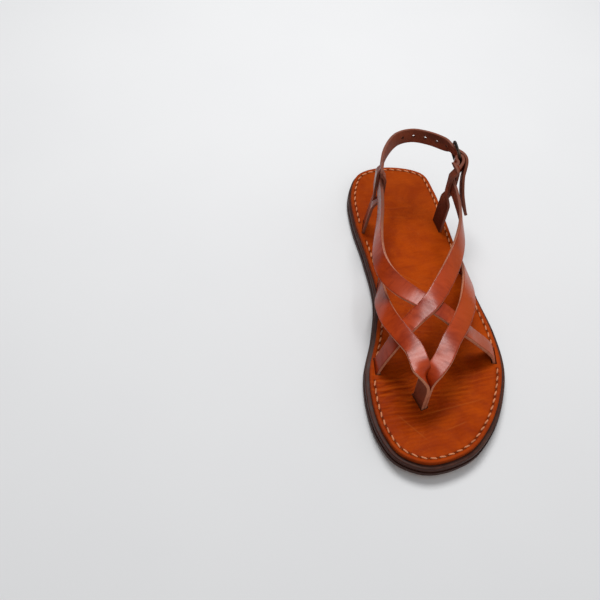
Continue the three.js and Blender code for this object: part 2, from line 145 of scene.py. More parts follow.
def edge_stations(inset, count):
    """Y, inner X and outer X of the moved outline at places from heel to toe.

    The places' shares of the way are part even and part (1 - cos) / 2, which packs both ends.
    """
    line, _ = edge_line(inset)
    line = np.roll(line, -np.argmax(line[:, 1]), axis=0)
    toe = np.argmin(line[:, 1])
    inner, outer = line[: toe + 1], np.vstack([line[toe:], line[:1]])[::-1]
    even = np.linspace(0, 1, count + 1)
    share = even_part * even + (1 - even_part) * (1 - np.cos(pi * even)) / 2
    y = line[0, 1] + (line[toe, 1] - line[0, 1]) * share
    return y, np.interp(-y, -inner[:, 1], inner[:, 0]), np.interp(-y, -outer[:, 1], outer[:, 0])


def from_edge(x, y, inset):
    """How far points lie inside the moved outline: their way from its nearest place, along its normal."""
    line, inward = edge_line(inset)
    points = np.column_stack([np.ravel(x), np.ravel(y)]).astype(np.float32)
    found = []
    for some in np.array_split(points, 1 + len(points) // 20000):
        apart = some[:, None, :] - line[None].astype(np.float32)
        near = np.argmin((apart**2).sum(axis=2), axis=1)
        found.append((apart[np.arange(len(some)), near] * inward[near]).sum(axis=1))
    return np.concatenate(found).reshape(np.shape(x))


def loop_quads(index):
    """Quads between the rows of a grid of point numbers, where each row is a loop."""
    beside = np.roll(index, -1, axis=-1)
    corners = index[..., :-1, :], beside[..., :-1, :], beside[..., 1:, :], index[..., 1:, :]
    return np.stack(corners, axis=-1).reshape(-1, 4).tolist()


def skin(name, grid, ends=False, merge=False):
    """A mesh over rows of points, where each row is a loop; ends closes the first and last loop."""
    index = np.arange(grid[..., 0].size).reshape(grid.shape[:2])
    faces = loop_quads(index)
    if ends:
        faces += [index[0, ::-1].tolist(), index[-1].tolist()]
    mesh = bpy.data.meshes.new(name)
    mesh.from_pydata(grid.reshape(-1, 3).tolist(), [], faces)
    if merge:
        shape = bmesh.new()
        shape.from_mesh(mesh)
        bmesh.ops.remove_doubles(shape, verts=shape.verts, dist=2e-7)
        shape.to_mesh(mesh)
        shape.free()
    mesh.shade_smooth()
    return mesh


def rounded_bands(step, top, bottom, top_round=0.0, bottom_round=0.0):
    """Bands (inset, height) down a layer's side: a quarter circle, the straight side, a quarter circle.

    A turn of the circle stands away by radius * (1 - sin) and lies lower by radius * (1 - cos).
    """
    turns = np.radians([0, 30, 60, 90])
    bands = []
    for edge, radius, up, order in ((top, top_round, -1, 1), (bottom, bottom_round, 1, -1)):
        for turn in turns[:: order * (1 if radius else 4)]:
            away = radius * (1 - np.sin(turn))
            bands.append((lambda y, away=away: step(y) + away, edge + up * radius * (1 - np.cos(turn))))
    return bands


def layer(name, bands, top=None, bottom=None, rows=420, top_columns=2, bottom_columns=2):
    """A sole layer as one closed skin of loops that run round it, one for each place along it.

    A loop goes over the top from the outer to the inner edge, down the bands of the inner side,
    back underneath and up the outer side. At the heel and the toe the loops shrink to a line.
    """
    def face(band, share, relief=None):
        """Points at a band's height, at shares of the way from the inner to the outer edge."""
        inset, height = band
        y, inner, outer = (value[:, None] for value in edge_stations(inset, rows))
        x = inner + (outer - inner) * share
        y = np.broadcast_to(y, x.shape)
        z = height + spring_at(y) + (relief(x, y) if relief else 0)
        return np.stack([x, y, z], axis=-1)

    def shares(count):
        """Shares from 0 to 1, half of them even and half packed at both ends."""
        even = np.linspace(0, 1, count)
        return (even + (1 - np.cos(pi * even)) / 2) / 2

    columns = [face(bands[0], 1 - shares(top_columns), top)]
    columns += [face(band, np.zeros(1)) for band in bands[1:-1]]
    columns += [face(bands[-1], shares(bottom_columns), bottom)]
    columns += [face(band, np.ones(1)) for band in bands[-2:0:-1]]
    return skin(name, np.concatenate(columns, axis=1), merge=True)


def points_of(mesh):
    """The mesh's points as an array."""
    points = np.empty(len(mesh.vertices) * 3, np.float32)
    mesh.vertices.foreach_get("co", points)
    return points.reshape(-1, 3).astype(float)


def mark(mesh, name, values):
    """Keeps one number for each point of the mesh, for its finish to read."""
    mesh.attributes.new(name, "FLOAT", "POINT").data.foreach_set("value", values.astype(np.float32))


def pebbles(x, y, size, seed, waves=16):
    """A smooth uneven relief of about -1 to 1: a sum of waves of about one size in all directions."""
    rng = np.random.default_rng(seed)
    turn, phase = rng.uniform(0, 2 * pi, (2, waves))
    length = size * rng.uniform(0.7, 1.4, waves)
    total = 0
    for a, p, l in zip(turn, phase, length):
        total = total + np.sin(2 * pi * (x * np.cos(a) + y * np.sin(a)) / l + p)
    return total / np.sqrt(waves)


def placed(name, mesh, finishes, slot, *nodes):
    """Puts a mesh with its finishes on the sandal's one body, in place of the nodes named."""
    for finish in finishes:
        mesh.materials.append(finish)
    piece = in_scene(name, mesh)
    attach(piece, "root")
    if nodes:
        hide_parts(*nodes)
    return piece


def node(tree, kind, sockets=(), **settings):
    """Adds a shader node: settings are its choices, and each socket gets its value or its link."""
    made = tree.nodes.new("ShaderNode" + kind)
    for key, value in settings.items():
        setattr(made, key, value)
    connect(tree, made, dict(sockets))
    return made.outputs


def connect(tree, made, sockets):
    """Gives each named socket of a node its value or its link."""
    for key, value in sockets.items():
        if isinstance(value, bpy.types.NodeSocket):
            tree.links.new(value, made.inputs[key])
        else:
            made.inputs[key].default_value = value


def between(tree, amount, low, high):
    """The colour from low to high by amount."""
    return node(tree, "Mix", {0: amount, 6: low, 7: high}, data_type="RGBA")[2]


def ranged(tree, value, low, high, to_low=0.0, to_high=1.0):
    """value spread from low..high to another range, and held inside it."""
    sockets = {"Value": value, "From Min": low, "From Max": high, "To Min": to_low, "To Max": to_high}
    return node(tree, "MapRange", sockets, interpolation_type="SMOOTHSTEP")[0]


def tinted(tree, colour, *tints):
    """Lays tints over a colour: each has a value, its low and high, the tint's share there, and itself."""
    for value, low, high, at_low, at_high, tint in tints:
        colour = between(tree, ranged(tree, value, low, high, at_low, at_high), colour, tint)
    return colour


def noise(tree, vector, scale, detail, **settings):
    """Cloudy noise between 0 and 1, with scale blobs to the metre."""
    return node(tree, "TexNoise", {"Vector": vector, "Scale": scale, "Detail": detail, **settings})["Fac"]


def marked(tree, name):
    """The number that the mesh keeps for each point under the name."""
    return node(tree, "Attribute", attribute_name=name)["Fac"]


def reckon(tree, operation, a, b=0.0):
    """One sum of a Math node."""
    return node(tree, "Math", {0: a, 1: b}, operation=operation)[0]


def new_finish(name):
    """A material, its node tree and its shader."""
    material = bpy.data.materials.new(name)
    material.use_nodes = True
    return material, material.node_tree, material.node_tree.nodes["Principled BSDF"]


def bumped(tree, height, depth):
    """The surface's normal over a relief of height times depth, in metres."""
    return node(tree, "Bump", {"Height": height, "Distance": depth, "Strength": 1.0})["Normal"]


dye_brown = (0.046, 0.015, 0.010, 1)

crepe, tree, shader = new_finish("crepe_rubber")
spot = node(tree, "TexCoord")["Object"]
cells = node(tree, "TexVoronoi", {"Vector": spot, "Scale": 430.0, "Randomness": 1.0})["Distance"]
crumb = noise(tree, spot, 1500.0, 3.0)
hollow = ranged(tree, reckon(tree, "ADD", cells, reckon(tree, "MULTIPLY", crumb, 0.5)), 0.25, 1.1)
# Painted shade: the rubber is darker in the hollows between the pebbles, where the bump is low.
rubber = between(tree, hollow, (0.64, 0.32, 0.115, 1), (0.40, 0.155, 0.045, 1))
rubber = tinted(tree, rubber, (noise(tree, spot, 55.0, 4.0), 0.35, 0.75, 0.0, 0.35, (0.52, 0.19, 0.04, 1)))
uneven = reckon(tree, "ADD", marked(tree, "from_rim"), reckon(tree, "MULTIPLY", crumb, 0.0009))
painted = ranged(tree, uneven, painted_rim, painted_rim + 0.0005, 1.0, 0.0)
connect(tree, shader, {
    "Base Color": between(tree, painted, rubber, dye_brown),
    "Roughness": ranged(tree, painted, 0.0, 1.0, 0.88, 0.50),
    "Specular IOR Level": 0.15,
    "Normal": bumped(tree, reckon(tree, "SUBTRACT", 1.0, hollow), 0.00022),
})


def crepe_tread(x, y):
    """The tread, rubbed down by walking: 1 plus fine pebbles plus half of a wider swell, held between 0 and
    3.
    """
    relief = 1 + pebbles(x, y, pebble, 3) + 0.5 * pebbles(x, y, pebble_swell, 4)
    return tread_depth * np.clip(relief, 0, 3)


outsole_mesh = layer(
    "outsole",
    rounded_bands(lambda y: 0 * y, outsole_thickness, 0, bottom_round=edge_round),
    bottom=crepe_tread, bottom_columns=110,
)
x, y, _ = points_of(outsole_mesh).T
mark(outsole_mesh, "from_rim", from_edge(x, y, lambda y: 0 * y))
outsole_mesh.set_sharp_from_angle(angle=radians(50))
placed("outsole_crepe", outsole_mesh, [crepe], "crepe_rubber", "outsole")


# Midsole. A thick layer of sole leather between crepe and insole, set back a hair from the
# crepe. Its edge is trimmed on a wheel, dyed dark brown and waxed, and shows its fibres.
midsole_thickness = 0.0038
midsole_step = 0.0006
highlight_fade = 0.00025  # how far the painted highlight line along an edge fades
midsole_bottom = outsole_thickness + seam_gap
midsole_top = midsole_bottom + midsole_thickness

edge_wax, tree, shader = new_finish("waxed_edge")
spot = node(tree, "TexCoord")["Object"]
flat = node(tree, "Mapping", {"Vector": spot, "Scale": (1.0, 1.0, 16.0)})[0]
fibre = noise(tree, flat, 210.0, 5.0, Roughness=0.65)
patch = noise(tree, spot, 38.0, 3.0)
# Painted highlight: pale lines along the top and bottom edges of the side, broken into patches.
edge_highlight = reckon(tree, "MULTIPLY", marked(tree, "edge_highlight"), ranged(tree, patch, 0.35, 0.7))
brown = between(tree, ranged(tree, fibre, 0.35, 0.7), (0.030, 0.008, 0.005, 1), (0.072, 0.021, 0.013, 1))
connect(tree, shader, {
    "Base Color": between(tree, edge_highlight, brown, (0.11, 0.055, 0.036, 1)),
    "Roughness": ranged(tree, fibre, 0.3, 0.75, 0.38, 0.58),
    "Specular IOR Level": 0.12,
    "Coat Weight": ranged(tree, patch, 0.3, 0.7, 0.0, 0.05),
    "Coat Roughness": 0.3,
    "Normal": bumped(tree, fibre, 0.00009),
})

midsole_mesh = layer(
    "midsole",
    rounded_bands(lambda y: midsole_step + 0 * y, midsole_top, midsole_bottom, edge_round, 0.0003),
)
_, y, z = points_of(midsole_mesh).T
height = z - spring_at(y)
# Painted highlight lines along the side's top edge and its lower edge next to the crepe.
top_edge = np.exp(-((height - midsole_top + 0.3 * edge_round) / highlight_fade) ** 2)
low_edge = np.exp(-((height - midsole_bottom) / highlight_fade) ** 2)
mark(midsole_mesh, "edge_highlight", np.clip(0.7 * top_edge + 0.9 * low_edge, 0, 1))
midsole_mesh.set_sharp_from_angle(angle=radians(50))
placed("midsole_layer", midsole_mesh, [edge_wax], "dark_leather", "midsole")


# Insole. Vegetable-tanned leather, dyed orange-brown, oiled and polished, sewn down along a
# shallow channel near its edge. Feet and the last have left creases across it at the ball, most
# at the inner side. The straps pass down through slits.
insole_thickness = 0.0028
insole_step_heel = 0.0020
insole_step_ball = 0.0032
insole_bottom = midsole_top + seam_gap
insole_top = insole_bottom + insole_thickness
stitch_inset = 0.0030
channel_depth, channel_half = 0.00022, 0.0008
prick_radius = 0.00085
scratch_width = 0.00055
crease_half = 0.00075
stitch_pitch = 0.0056
stitch_length = 0.0039
# Where the stitching leaves room for a strap: shares of the length and of the ball width
strap_roots = [(0.395, 0.410), (0.468, -0.225), (0.719, -0.330), (0.693, 0.500), (0.264, -0.290)]
root_room = 0.0078
# Creases: middle as shares of the length and of the ball width, then half length, slant, bow and
# depth in mm
insole_creases = [
    (0.754, -0.275, 9, -0.3, 0.8, 0.20), (0.768, -0.245, 14, 0.9, -1.0, 0.30),
    (0.776, -0.300, 8, 1.3, 0.9, 0.22), (0.789, -0.255, 15, 1.7, 1.2, 0.34),
    (0.797, -0.290, 10, 1.0, -0.9, 0.22), (0.805, -0.225, 17, 1.4, 1.0, 0.32),
    (0.814, -0.270, 12, 0.6, 0.8, 0.24), (0.822, -0.220, 16, 0.5, -0.9, 0.30),
    (0.829, -0.250, 12, 0.9, 0.7, 0.18), (0.837, -0.200, 18, 0.6, 1.2, 0.26),
    (0.846, -0.230, 12, 1.2, -0.6, 0.16), (0.854, -0.205, 17, 1.7, 0.8, 0.22),
    (0.866, -0.110, 22, 3.8, 0.9, 0.18), (0.882, -0.180, 14, 2.4, 0.5, 0.12),
    (0.903, -0.165, 13, 1.9, 0.6, 0.12), (0.796, 0.120, 15, 1.3, 1.2, 0.20),
    (0.808, 0.150, 17, 1.5, 1.4, 0.22), (0.820, 0.130, 14, 1.6, 0.9, 0.14),
    (0.753, 0.335, 16, 3.0, 1.3, 0.16), (0.770, 0.355, 15, 2.4, 1.0, 0.16),
    (0.786, 0.330, 12, 2.0, 0.8, 0.12), (0.620, 0.060, 15, -3.2, 1.8, 0.16),
    (0.600, 0.090, 14, -2.6, 1.5, 0.14), (0.545, 0.060, 16, -4.0, 2.0, 0.12),
    (0.180, 0.020, 13, 1.2, 2.6, 0.14), (0.222, -0.020, 15, 0.6, -2.2, 0.12),
]
# Scratches from one place to another: shares of the length and of the ball width
insole_scratches = [
    ((0.862, -0.085), (0.816, 0.410)), ((0.849, -0.246), (0.935, -0.041)),
    ((0.905, 0.060), (0.880, 0.230)), ((0.420, -0.080), (0.470, 0.120)),
]
# Dips that heel, ball and big toe have worn: middle X and Y, half widths and depth
worn_dips = [
    (0, 0, 0.020, 0.028, 0.0005), (0.010, -0.135, 0.028, 0.030, 0.0005),
    (-0.016, -0.185, 0.011, 0.014, 0.0004),
]


def insole_step(y):
    """How far the insole stands back from the sole's edge: less at the heel than at the ball."""
    share = np.clip(((heel_middle - y) / sole_length - 0.3) / 0.35, 0, 1)
    return insole_step_heel + (insole_step_ball - insole_step_heel) * share**2 * (3 - 2 * share)


def crease_relief(x, y):
    """The creases: a soft trough with a lower ridge on its heel side, fading to both ends."""
    total = 0
    for along, across, half, slant, bow, depth in insole_creases:
        way = (x - across * ball_width) / (half * 0.001)
        middle = along_y(along) + 0.001 * (slant * way + bow * (way**2 - 0.3))
        middle = middle + 0.00035 * np.sin(5.2 * way + 40 * along)
        off = (y - middle) / crease_half
        trough = np.exp(-(off**2)) - 0.55 * np.exp(-((off - 2.0) ** 2) / 1.6)
        total = total - 0.001 * depth * trough * np.exp(-(way**4))
    return total


def insole_relief(x, y):
    """The hide's unevenness less the channel and the dips that wear has made, and the creases.

    Channel and dips are bell shapes. All but the channel fade out towards the edge.
    """
    inside = from_edge(x, y, insole_step)
    groove = channel_depth * np.exp(-(((inside - stitch_inset) / channel_half) ** 2))
    dips = sum(
        depth * np.exp(-(((x - dip_x) / wide) ** 2) - (((y - dip_y) / long) ** 2))
        for dip_x, dip_y, wide, long, depth in worn_dips
    )
    fade = np.clip(inside / 0.003, 0, 1)
    uneven = 0.00007 * fade * pebbles(x, y, 0.013, 11)
    return uneven - groove - fade * dips + fade * crease_relief(x, y)


def new_group(name, inputs, outputs):
    """A node group with named number or vector inputs and number outputs."""
    group = bpy.data.node_groups.new(name, "ShaderNodeTree")
    for label, kind in inputs:
        group.interface.new_socket(label, in_out="INPUT", socket_type="NodeSocket" + kind)
    for label in outputs:
        group.interface.new_socket(label, in_out="OUTPUT", socket_type="NodeSocketFloat")
    return group, group.nodes.new("NodeGroupInput").outputs, group.nodes.new("NodeGroupOutput")


def use(tree, group, sockets):
    """Places a node group in a material."""
    made = tree.nodes.new("ShaderNodeGroup")
    made.node_tree = group
    connect(tree, made, sockets)
    return made.outputs


# The grain of a hide: pores between low pebbles, and the cloudy take-up of dye
hide_grain, given, result = new_group(
    "hide_grain", [("Vector", "Vector"), ("Pores", "Float")], ["Height", "Cloud"])
pore = node(hide_grain, "TexVoronoi", {"Vector": given["Vector"], "Scale": given["Pores"]})["Distance"]
fine = noise(hide_grain, given["Vector"], 900.0, 5.0)
connect(hide_grain, result, {
    "Height": reckon(hide_grain, "ADD", reckon(hide_grain, "MULTIPLY", pore, -0.7), fine),
    "Cloud": noise(hide_grain, given["Vector"], 42.0, 7.0, Roughness=0.62, Distortion=0.5),
})

# Fine scuffs from handling: thin winding lines that show only in patches
scuffs, given, result = new_group("scuffs", [("Vector", "Vector")], ["Mask"])
wander = reckon(scuffs, "SUBTRACT", noise(scuffs, given["Vector"], 120.0, 2.0, Distortion=1.6), 0.5)
thin = ranged(scuffs, reckon(scuffs, "ABSOLUTE", wander), 0.0, 0.012, 1.0, 0.0)
patch = ranged(scuffs, noise(scuffs, given["Vector"], 34.0, 2.0), 0.52, 0.7)
connect(scuffs, result, {"Mask": reckon(scuffs, "MULTIPLY", thin, patch)})

# A scratch: near 1 within Width of the straight way from From to To, fading at both ends
scratch, given, result = new_group(
    "scratch", [("Vector", "Vector"), ("From", "Vector"), ("To", "Vector"), ("Width", "Float")], ["Mask"])
flat = node(scratch, "VectorMath", {0: given["Vector"], 1: (1, 1, 0)}, operation="MULTIPLY")[0]
gone = node(scratch, "VectorMath", {0: flat, 1: given["From"]}, operation="SUBTRACT")[0]
whole = node(scratch, "VectorMath", {0: given["To"], 1: given["From"]}, operation="SUBTRACT")[0]
part = node(scratch, "VectorMath", {0: gone, 1: whole}, operation="DOT_PRODUCT")["Value"]
full = node(scratch, "VectorMath", {0: whole, 1: whole}, operation="DOT_PRODUCT")["Value"]
share = node(scratch, "Math", {0: part, 1: full}, operation="DIVIDE", use_clamp=True)[0]
nearest = node(scratch, "VectorMath", {0: whole, "Scale": share}, operation="SCALE")[0]
apart = node(scratch, "VectorMath", {0: gone, 1: nearest}, operation="DISTANCE")["Value"]
stroke = reckon(scratch, "SUBTRACT", 1.0, reckon(scratch, "DIVIDE", apart, given["Width"]))
from_middle = reckon(scratch, "ABSOLUTE", reckon(scratch, "SUBTRACT", share, 0.5))
faded = ranged(scratch, from_middle, 0.25, 0.5, 1.0, 0.0)
stroke = reckon(scratch, "MAXIMUM", stroke, 0.0)
connect(scratch, result, {"Mask": reckon(scratch, "MULTIPLY", stroke, faded)})

polished, tree, shader = new_finish("insole_leather")
spot = node(tree, "TexCoord")["Object"]
grain = use(tree, hide_grain, {"Vector": spot, "Pores": 1300.0})
drawn = node(tree, "Mapping", {"Vector": spot, "Scale": (1.0, 3.2, 1.0), "Rotation": (0, 0, radians(-12))})[0]
streak = noise(tree, drawn, 75.0, 4.0, Distortion=0.4)
crease = marked(tree, "crease")
slanted = node(tree, "Mapping", {"Vector": spot, "Rotation": (0, 0, radians(-14))})[0]
wrinkle = node(tree, "TexWave", {
    "Vector": slanted, "Scale": 118.0, "Distortion": 5.5, "Detail": 3.0, "Detail Scale": 0.9,
}, bands_direction="Y")["Fac"]
wrinkle = reckon(tree, "MULTIPLY", wrinkle, marked(tree, "ball"))
marks = use(tree, scuffs, {"Vector": spot})["Mask"]
for (from_y, from_x), (to_y, to_x) in insole_scratches:
    stroke = use(tree, scratch, {
        "Vector": spot, "Width": scratch_width,
        "From": (from_x * ball_width, along_y(from_y), 0), "To": (to_x * ball_width, along_y(to_y), 0),
    })["Mask"]
    marks = reckon(tree, "MAXIMUM", marks, stroke)
tan = tinted(
    tree, (0.30, 0.031, 0.0012, 1),
    (grain["Cloud"], 0.32, 0.68, 0.0, 1.0, (0.45, 0.061, 0.0018, 1)),
    (streak, 0.45, 0.75, 0.0, 0.22, (0.20, 0.020, 0.0015, 1)),
    (node(tree, "SeparateXYZ", {0: spot})["Y"], -0.06, 0.01, 0.0, 0.35, (0.19, 0.030, 0.004, 1)),
    # Painted shade darkens the crease troughs, and painted highlight lightens the ridges beside them.
    (crease, 0.00003, 0.00028, 0.0, 0.55, (0.13, 0.012, 0.001, 1)),
    (crease, -0.00012, -0.00002, 0.45, 0.0, (0.50, 0.085, 0.005, 1)),
    (marked(tree, "from_rim"), 0.0, 0.0018, 0.5, 0.0, (0.19, 0.030, 0.008, 1)),
)
# Painted shade in the troughs of the fine wrinkles at the ball.
tan = between(tree, reckon(tree, "MULTIPLY", wrinkle, 0.20), tan, (0.17, 0.015, 0.001, 1))
# Painted shade in the pricked holes at the stitches' ends.
tan = between(tree, marked(tree, "pricked"), tan, (0.035, 0.006, 0.002, 1))
tan = between(tree, reckon(tree, "MULTIPLY", marks, 0.20), tan, (0.55, 0.17, 0.03, 1))
low = reckon(tree, "MULTIPLY", wrinkle, 1.3)
connect(tree, shader, {
    "Base Color": tan,
    "Roughness": ranged(tree, grain["Cloud"], 0.3, 0.7, 0.36, 0.50),
    "Specular IOR Level": 0.02,
    "Normal": bumped(tree, reckon(tree, "SUBTRACT", grain["Height"], low), 0.00009),
})


def gone_along(points):
    """How far a line has gone at each of its points: the sum of the chords before it."""
    return np.concatenate([[0], np.cumsum(np.linalg.norm(np.diff(points, axis=0), axis=1))])


def in_channel(gone):
    """X and Y of places in the stitch channel, by how far the channel has gone there."""
    return [np.interp(gone, channel_gone, channel[:, axis]) for axis in (0, 1)]


# Where each stitch has its middle along the channel, and the pricked holes at its ends
channel, _ = edge_line(lambda y: insole_step(y) + stitch_inset)
channel = np.vstack([channel, channel[:1]])
channel_gone = gone_along(channel)
stitch_count = round(channel_gone[-1] / stitch_pitch)
middles = (np.arange(stitch_count) + 0.5) * channel_gone[-1] / stitch_count
rooms = np.array([(across * ball_width, along_y(along)) for along, across in strap_roots])
from_roots = np.linalg.norm(np.column_stack(in_channel(middles))[:, None] - rooms[None], axis=2)
middles = middles[from_roots.min(axis=1) > root_room]
pricks = np.concatenate([middles - stitch_length / 2, middles + stitch_length / 2])
pricks = np.column_stack(in_channel(pricks))


def nearest_hole(x, y):
    """How far points are from the nearest pricked hole."""
    points, holes = np.column_stack([x, y]).astype(np.float32), pricks[None].astype(np.float32)
    parts = np.array_split(points, 1 + len(points) // 20000)
    return np.concatenate([np.linalg.norm(some[:, None] - holes, axis=2).min(axis=1) for some in parts])


insole_mesh = layer(
    "insole", rounded_bands(insole_step, insole_top, insole_bottom, edge_round),
    top=insole_relief, top_columns=110, bottom_columns=24,
)
x, y, z = points_of(insole_mesh).T
on_top = z - spring_at(y) > insole_top - 0.0015
mark(insole_mesh, "crease", np.where(on_top, -crease_relief(x, y), 0))
mark(insole_mesh, "from_rim", from_edge(x, y, insole_step))
mark(insole_mesh, "ball", np.exp(-(((x + 0.004) / 0.034) ** 2) - ((y + 0.168) / 0.034) ** 2) + 0.25)
mark(insole_mesh, "pricked", np.where(on_top, np.exp(-((nearest_hole(x, y) / prick_radius) ** 2)), 0))
insole = placed("insole_polished", insole_mesh, [polished], "insole_leather", "insole")


# Edge stitching. One row of thick waxed thread, orange-tan, sewn by hand through insole and
# midsole in the channel. It stops where a strap goes down through its slit.
thread_radius = 0.00056
stitch_slant = 0.0007
stitch_lift, stitch_sink = 0.00036, 0.00090

waxed_thread, tree, shader = new_finish("waxed_thread")
spot = node(tree, "TexCoord")
ply = node(tree, "TexWave", {
    "Vector": spot["UV"], "Scale": 620.0, "Distortion": 0.6}, bands_direction="DIAGONAL")["Fac"]
soil = noise(tree, spot["Object"], 160.0, 3.0)
# Painted shade in the grooves between the thread's plies, where the bump is low.
thread = between(tree, ply, (0.52, 0.16, 0.06, 1), (0.86, 0.34, 0.15, 1))
connect(tree, shader, {
    "Base Color": tinted(tree, thread, (soil, 0.45, 0.75, 0.0, 0.6, (0.30, 0.07, 0.02, 1))),
    "Roughness": 0.55,
    "Normal": bumped(tree, ply, 0.00010),
})

# A stitch is a tube along -1 to 1 of its length, slanted across the channel. It rises by a lift
# less a sink times the fifth power of the way, which pulls its ends down. Here are all at once
way = np.linspace(-1, 1, 9)
x, y = in_channel(middles[:, None] + way * stitch_length / 2)
step_x, step_y = np.gradient(x, axis=1), np.gradient(y, axis=1)
slant = way * stitch_slant / 2 / np.hypot(step_x, step_y)
x, y = x + step_y * slant, y - step_x * slant
z = insole_top + spring_at(y) + insole_relief(x, y) + stitch_lift - stitch_sink * np.abs(way) ** 5
spine = np.stack([x, y, z], axis=-1)
run = unit(np.gradient(spine, axis=1))
side = unit(np.cross(np.broadcast_to([0.0, 0.0, 1.0], run.shape), run))
above = np.cross(run, side)
turn = np.linspace(0, 2 * pi, 6, endpoint=False)[:, None]
radius = thread_radius * (1 - 0.35 * np.abs(way) ** 3)[:, None, None]
tubes = spine[:, :, None] + radius * (side[:, :, None] * np.cos(turn) + above[:, :, None] * np.sin(turn))
number, rings, corners = tubes.shape[:3]
index = np.arange(number * rings * corners).reshape(number, rings, corners)
caps = index[:, 0, ::-1].tolist() + index[:, -1].tolist()
stitches = bpy.data.meshes.new("stitches")
stitches.from_pydata(tubes.reshape(-1, 3).tolist(), [], loop_quads(index) + caps)
stitches.shade_smooth()
strip = np.zeros((number, rings - 1, corners, 4, 2))
strip[..., 0] = (way[:-1, None, None] + [0, 0, way[1] - way[0], way[1] - way[0]]) * stitch_length / 2
strip[..., 1] = (np.arange(corners)[:, None] + [0, 1, 1, 0]) * 2 * pi * thread_radius / corners
strip = np.concatenate([strip.reshape(-1, 2), np.zeros((len(caps) * corners, 2))])
stitches.uv_layers.new(name="thread").data.foreach_set("uv", strip.ravel())
placed("edge_stitches", stitches, [waxed_thread], "waxed_thread")


# Upper. Four straps cut from one hide, 2 mm thick: two legs from the sides to the toe post, and
# two long straps that start beside the ball, cross over the instep and meet behind the ankle.
# The grain side is polished red-brown, the cut edges are pale and the flesh side is dull.
instep_height = 0.036
strap_width = 0.0115
strap_thickness = 0.0020
strap_corner = 0.00042
strap_crown = 0.00014
sliver = 6e-6
ankle_width = 0.0098
ankle_row_count = 6
tail_width = 0.0085
# Shares of the length, of the ball width and of the instep height above the insole, then where
# the grain side faces, in degrees: turn 0 is outwards and 90 to the heel, tilt 90 is up
outer_leg_rows = [
    (0.819, -0.053, -0.12, 199, 0), (0.819, -0.053, 0.25, 199, 0), (0.819, -0.052, 0.54, 199, 6),
    (0.816, -0.042, 0.68, 196, 40), (0.806, -0.010, 0.76, 190, 72), (0.779, 0.052, 0.82, 180, 86),
    (0.729, 0.131, 0.86, 0, 86), (0.679, 0.218, 0.82, 0, 76), (0.619, 0.297, 0.78, 0, 64),
    (0.553, 0.350, 0.67, 0, 48), (0.495, 0.384, 0.50, 0, 35), (0.441, 0.402, 0.29, 0, 24),
    (0.402, 0.406, 0.06, 0, 16), (0.365, 0.406, -0.22, 0, 14),
]
inner_leg_rows = [
    (0.822, -0.072, -0.12, 19, 0), (0.822, -0.072, 0.25, 19, 0), (0.822, -0.072, 0.54, 19, 6),
    (0.819, -0.080, 0.70, 16, 42), (0.800, -0.098, 0.80, 90, 84), (0.753, -0.124, 0.83, 180, 82),
    (0.701, -0.182, 0.757, 180, 66), (0.645, -0.242, 0.67, 180, 52), (0.569, -0.262, 0.47, 180, 36),
    (0.506, -0.240, 0.21, 180, 24), (0.474, -0.222, 0.00, 180, 18), (0.444, -0.212, -0.22, 180, 16),
]
buckle_strap_rows = [
    (0.724, -0.336, -0.25, 180, 8), (0.719, -0.312, 0.06, 180, 18), (0.711, -0.254, 0.44, 180, 38),
    (0.692, -0.180, 0.715, 180, 62), (0.663, -0.084, 0.85, 180, 76), (0.634, 0.018, 0.95, 0, 88),
    (0.602, 0.087, 0.98, 0, 78), (0.549, 0.179, 1.00, 0, 62), (0.496, 0.257, 1.01, 0, 48),
    (0.437, 0.322, 1.03, 0, 34), (0.387, 0.354, 1.05, 0, 20), (0.339, 0.360, 1.09, 0, 9),
    (0.294, 0.350, 1.145, 0, 4), (0.251, 0.338, 1.21, 0, 2),
]
heel_strap_rows = [
    (0.697, 0.528, -0.20, 0, 42), (0.692, 0.490, 0.10, 0, 46), (0.687, 0.347, 0.48, 0, 54),
    (0.682, 0.226, 0.76, 0, 72), (0.654, 0.130, 0.86, 0, 84), (0.628, 0.030, 0.912, 180, 88),
    (0.608, -0.058, 0.92, 180, 76), (0.580, -0.154, 0.94, 180, 60), (0.544, -0.231, 0.96, 180, 46),
    (0.503, -0.270, 0.98, 180, 34), (0.458, -0.275, 1.00, 180, 24), (0.399, -0.252, 1.02, 180, 14),
    (0.345, -0.224, 1.06, 180, 8), (0.297, -0.210, 1.12, 180, 4), (0.255, -0.207, 1.185, 178, 2),
    (0.212, -0.190, 1.27, 168, 0), (0.160, -0.142, 1.36, 145, -6), (0.112, -0.040, 1.40, 110, -12),
    (0.098, 0.086, 1.41, 88, -14), (0.112, 0.215, 1.42, 60, -12), (0.134, 0.300, 1.44, 42, -8),
]
# The tail has its width as a share of tail_width as well
tail_rows = [
    (0.228, 0.436, 1.14, 2, 12, 1.15), (0.250, 0.440, 0.90, 2, 8, 1.05),
    (0.266, 0.462, 0.69, 2, 12, 0.95), (0.278, 0.488, 0.51, 2, 18, 0.35),
]
# The buckle's middle, its way from the rear to the front bar, and its sizes
buckle_middle = (0.173, 0.390, 1.415)
buckle_way = (0.20, -0.92, -0.33)
buckle_wire = 0.0018
buckle_reach = 0.0126
prong_diameter = 0.0012
bar = buckle_reach / 2
wrap = buckle_wire / 2 + seam_gap + strap_thickness / 2


def spots(rows):
    """Points of table rows: along, across and up as shares."""
    along, across, up = np.array(rows, float).T[:3]
    y = along_y(along)
    return np.column_stack([across * ball_width, y, insole_top + spring_at(y) + up * instep_height])


def stations(rows, width):
    """Points, grain directions and widths of table rows."""
    turn, tilt = np.radians(np.array(rows, float).T[3:5])
    face = np.column_stack([np.cos(tilt) * np.cos(turn), np.cos(tilt) * np.sin(turn), np.sin(tilt)])
    return np.column_stack([spots(rows), face, np.broadcast_to(width, len(face))])


